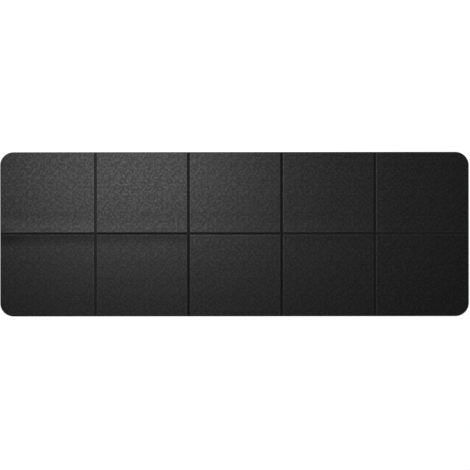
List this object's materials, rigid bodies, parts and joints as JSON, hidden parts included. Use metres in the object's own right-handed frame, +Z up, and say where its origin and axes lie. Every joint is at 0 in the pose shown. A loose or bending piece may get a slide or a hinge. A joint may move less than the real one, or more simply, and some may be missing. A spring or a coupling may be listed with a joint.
{
  "type": "folding exercise mat",
  "caption": "Flat black folding exercise mat of padded panels joined by pressed creases; it doubles along its middle and folds in a zig-zag into a block.",
  "frame": {"origin": "middle of the mat's underside, on the floor", "axes": "+X along the mat's length, +Y across it towards the back row, +Z up out of the wear face"},
  "size_m": [1.74, 0.61, 0.002],
  "materials": {
    "embossed_foam": "fine embossed grain, low sheen",
    "woven_scrim": "open plain weave",
    "grip_foam": "matt, anti-slip",
    "pressed_web": "smooth, heat pressed"
  },
  "bodies": {
    "panel_front_1": {"base_layer_front_1": "grip_foam", "scrim_front_1": "woven_scrim", "top_layer_front_1": "embossed_foam", "long_crease_1": "pressed_web"},
    "panel_back_1": {"base_layer_back_1": "grip_foam", "scrim_back_1": "woven_scrim", "top_layer_back_1": "embossed_foam"},
    "panel_front_2": {"base_layer_front_2": "grip_foam", "scrim_front_2": "woven_scrim", "top_layer_front_2": "embossed_foam", "long_crease_2": "pressed_web"},
    "panel_back_2": {"base_layer_back_2": "grip_foam", "scrim_back_2": "woven_scrim", "top_layer_back_2": "embossed_foam"},
    "panel_front_3": {"base_layer_front_3": "grip_foam", "scrim_front_3": "woven_scrim", "top_layer_front_3": "embossed_foam", "long_crease_3": "pressed_web"},
    "panel_back_3": {"base_layer_back_3": "grip_foam", "scrim_back_3": "woven_scrim", "top_layer_back_3": "embossed_foam"},
    "panel_front_4": {"base_layer_front_4": "grip_foam", "scrim_front_4": "woven_scrim", "top_layer_front_4": "embossed_foam", "long_crease_4": "pressed_web"},
    "panel_back_4": {"base_layer_back_4": "grip_foam", "scrim_back_4": "woven_scrim", "top_layer_back_4": "embossed_foam"},
    "panel_front_5": {"base_layer_front_5": "grip_foam", "scrim_front_5": "woven_scrim", "top_layer_front_5": "embossed_foam", "long_crease_5": "pressed_web"},
    "panel_back_5": {"base_layer_back_5": "grip_foam", "scrim_back_5": "woven_scrim", "top_layer_back_5": "embossed_foam"},
    "web_front_1": {"cross_crease_front_1": "pressed_web", "crossing_1": "pressed_web"},
    "web_back_1": {"cross_crease_back_1": "pressed_web"},
    "web_front_2": {"cross_crease_front_2": "pressed_web", "crossing_2": "pressed_web"},
    "web_back_2": {"cross_crease_back_2": "pressed_web"},
    "web_front_3": {"cross_crease_front_3": "pressed_web", "crossing_3": "pressed_web"},
    "web_back_3": {"cross_crease_back_3": "pressed_web"},
    "web_front_4": {"cross_crease_front_4": "pressed_web", "crossing_4": "pressed_web"},
    "web_back_4": {"cross_crease_back_4": "pressed_web"}
  },
  "joints": [
    {"name": "cross_fold_1", "type": "hinge", "parent": "panel_front_1", "child": "panel_front_2", "pos_m": [-0.51655, 0, 0.00445], "axis": [0, -1, 0], "range_deg": [0, 180]},
    {"name": "cross_fold_2", "type": "hinge", "parent": "panel_front_2", "child": "panel_front_3", "pos_m": [-0.17065, 0, -0.00245], "axis": [0, 1, 0], "range_deg": [0, 180]},
    {"name": "cross_fold_3", "type": "hinge", "parent": "panel_front_3", "child": "panel_front_4", "pos_m": [0.17525, 0, 0.00445], "axis": [0, -1, 0], "range_deg": [0, 180]},
    {"name": "cross_fold_4", "type": "hinge", "parent": "panel_front_4", "child": "panel_front_5", "pos_m": [0.52115, 0, -0.00245], "axis": [0, 1, 0], "range_deg": [0, 180]},
    {"name": "cross_web_1", "type": "hinge", "parent": "panel_front_1", "child": "web_front_1", "pos_m": [-0.52, 0, 0.001], "axis": [0, -1, 0], "range_deg": [0, 90]},
    {"name": "cross_web_2", "type": "hinge", "parent": "panel_front_2", "child": "web_front_2", "pos_m": [-0.1741, 0, 0.001], "axis": [0, 1, 0], "range_deg": [0, 90]},
    {"name": "cross_web_3", "type": "hinge", "parent": "panel_front_3", "child": "web_front_3", "pos_m": [0.1718, 0, 0.001], "axis": [0, -1, 0], "range_deg": [0, 90]},
    {"name": "cross_web_4", "type": "hinge", "parent": "panel_front_4", "child": "web_front_4", "pos_m": [0.5177, 0, 0.001], "axis": [0, 1, 0], "range_deg": [0, 90]},
    {"name": "long_fold_1", "type": "hinge", "parent": "panel_front_1", "child": "panel_back_1", "pos_m": [-0.6953, 0.0026, 0.00215], "axis": [1, 0, 0], "range_deg": [0, 180], "deforming": ["long_crease_1"]},
    {"name": "long_fold_2", "type": "hinge", "parent": "panel_front_2", "child": "panel_back_2", "pos_m": [-0.3436, 0.0026, 0.00215], "axis": [1, 0, 0], "range_deg": [0, 180], "deforming": ["long_crease_2"]},
    {"name": "long_fold_3", "type": "hinge", "parent": "panel_front_3", "child": "panel_back_3", "pos_m": [0.0023, 0.0026, 0.00215], "axis": [1, 0, 0], "range_deg": [0, 180], "deforming": ["long_crease_3"]},
    {"name": "long_fold_4", "type": "hinge", "parent": "panel_front_4", "child": "panel_back_4", "pos_m": [0.3482, 0.0026, 0.00215], "axis": [1, 0, 0], "range_deg": [0, 180], "deforming": ["long_crease_4"]},
    {"name": "long_fold_5", "type": "hinge", "parent": "panel_front_5", "child": "panel_back_5", "pos_m": [0.6976, 0.0026, 0.00215], "axis": [1, 0, 0], "range_deg": [0, 180], "deforming": ["long_crease_5"]},
    {"name": "long_fold_web_1", "type": "hinge", "parent": "web_front_1", "child": "web_back_1", "pos_m": [-0.51655, 0.0026, 0.00215], "axis": [1, 0, 0], "range_deg": [0, 180], "deforming": ["crossing_1", "cross_crease_back_1"]},
    {"name": "long_fold_web_2", "type": "hinge", "parent": "web_front_2", "child": "web_back_2", "pos_m": [-0.17065, 0.0026, 0.00215], "axis": [1, 0, 0], "range_deg": [0, 180], "deforming": ["crossing_2", "cross_crease_back_2"]},
    {"name": "long_fold_web_3", "type": "hinge", "parent": "web_front_3", "child": "web_back_3", "pos_m": [0.17525, 0.0026, 0.00215], "axis": [1, 0, 0], "range_deg": [0, 180], "deforming": ["crossing_3", "cross_crease_back_3"]},
    {"name": "long_fold_web_4", "type": "hinge", "parent": "web_front_4", "child": "web_back_4", "pos_m": [0.52115, 0.0026, 0.00215], "axis": [1, 0, 0], "range_deg": [0, 180], "deforming": ["crossing_4", "cross_crease_back_4"]}
  ],
  "couplings": [
    {"joint": "cross_fold_2", "follows": "cross_fold_1", "ratio": 1},
    {"joint": "cross_fold_3", "follows": "cross_fold_1", "ratio": 1},
    {"joint": "cross_fold_4", "follows": "cross_fold_1", "ratio": 1},
    {"joint": "cross_web_1", "follows": "cross_fold_1", "ratio": 0.5},
    {"joint": "cross_web_2", "follows": "cross_fold_1", "ratio": 0.5},
    {"joint": "cross_web_3", "follows": "cross_fold_1", "ratio": 0.5},
    {"joint": "cross_web_4", "follows": "cross_fold_1", "ratio": 0.5},
    {"joint": "long_fold_2", "follows": "long_fold_1", "ratio": 1},
    {"joint": "long_fold_3", "follows": "long_fold_1", "ratio": 1},
    {"joint": "long_fold_4", "follows": "long_fold_1", "ratio": 1},
    {"joint": "long_fold_5", "follows": "long_fold_1", "ratio": 1},
    {"joint": "long_fold_web_1", "follows": "long_fold_1", "ratio": 1},
    {"joint": "long_fold_web_2", "follows": "long_fold_1", "ratio": 1},
    {"joint": "long_fold_web_3", "follows": "long_fold_1", "ratio": 1},
    {"joint": "long_fold_web_4", "follows": "long_fold_1", "ratio": 1}
  ]
}
